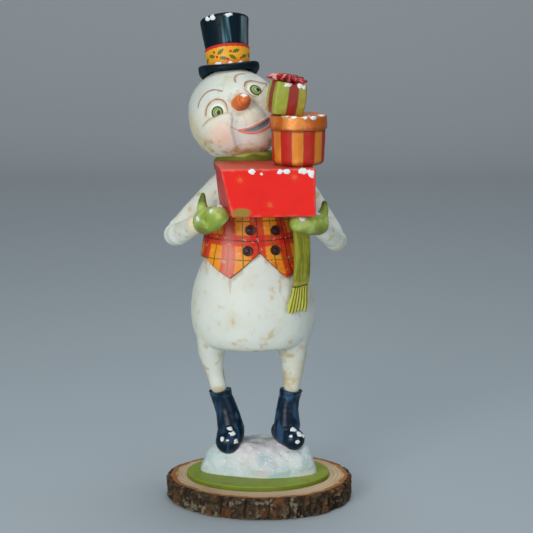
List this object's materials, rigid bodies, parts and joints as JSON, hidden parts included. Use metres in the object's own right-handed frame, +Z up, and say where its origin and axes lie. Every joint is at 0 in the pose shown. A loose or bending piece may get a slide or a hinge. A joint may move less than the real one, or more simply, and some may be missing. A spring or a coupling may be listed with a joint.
{
  "type": "snowman figurine",
  "caption": "Painted snowman figurine in a top hat, tartan vest and scarf, carrying a stack of gift boxes and standing on a bark-edged slice of wood.",
  "frame": {"origin": "centre of the wood slice's flat underside", "axes": "+Z up, -Y towards the viewer in front of the snowman, +X to the viewer's right"},
  "size_m": [0.1023, 0.0994, 0.2657],
  "materials": {
    "wood": "sawn pale sapwood with rough dark bark",
    "plinth_green": "satin green paint on cast resin",
    "snow": "white paint with a pale aqua wash and fine glitter",
    "white_paint": "antiqued white paint on cast resin",
    "boot_navy": "glossy blue-black paint",
    "tartan": "painted tartan in orange, red and green",
    "plum": "dark plum paint",
    "scarf_green": "mossy green paint with darker lows",
    "face_paint": "antiqued white paint with a painted face",
    "carrot": "orange paint with a dab of thick white",
    "hat_navy": "satin blue-black paint",
    "band_gold": "golden paint with painted holly",
    "mitten_green": "satin moss green paint",
    "gift_red": "satin red paint with faint golden stars",
    "gift_stripes": "golden paint with dark red stripes",
    "gift_copper": "copper-gold metallic paint",
    "gift_green": "light green paint with red ribbon bands",
    "bow_red": "pearly red paint"
  },
  "bodies": {
    "root": {"wood_slice": "wood", "plinth": "plinth_green", "snow_mound": "snow", "body": "white_paint", "boot_left": "boot_navy", "boot_right": "boot_navy", "vest": "tartan", "vest_button_1": "plum", "vest_button_2": "plum", "vest_button_3": "plum", "vest_button_4": "plum", "scarf": "scarf_green", "head": "face_paint", "carrot_nose": "carrot", "top_hat": "hat_navy", "hat_band": "band_gold", "arm_left": "white_paint", "arm_right": "white_paint", "mitten_left": "mitten_green", "mitten_right": "mitten_green", "red_gift_box": "gift_red", "round_gift_box": "gift_stripes", "round_gift_lid": "gift_copper", "green_gift_box": "gift_green", "gift_bow": "bow_red"}
  },
  "joints": []
}
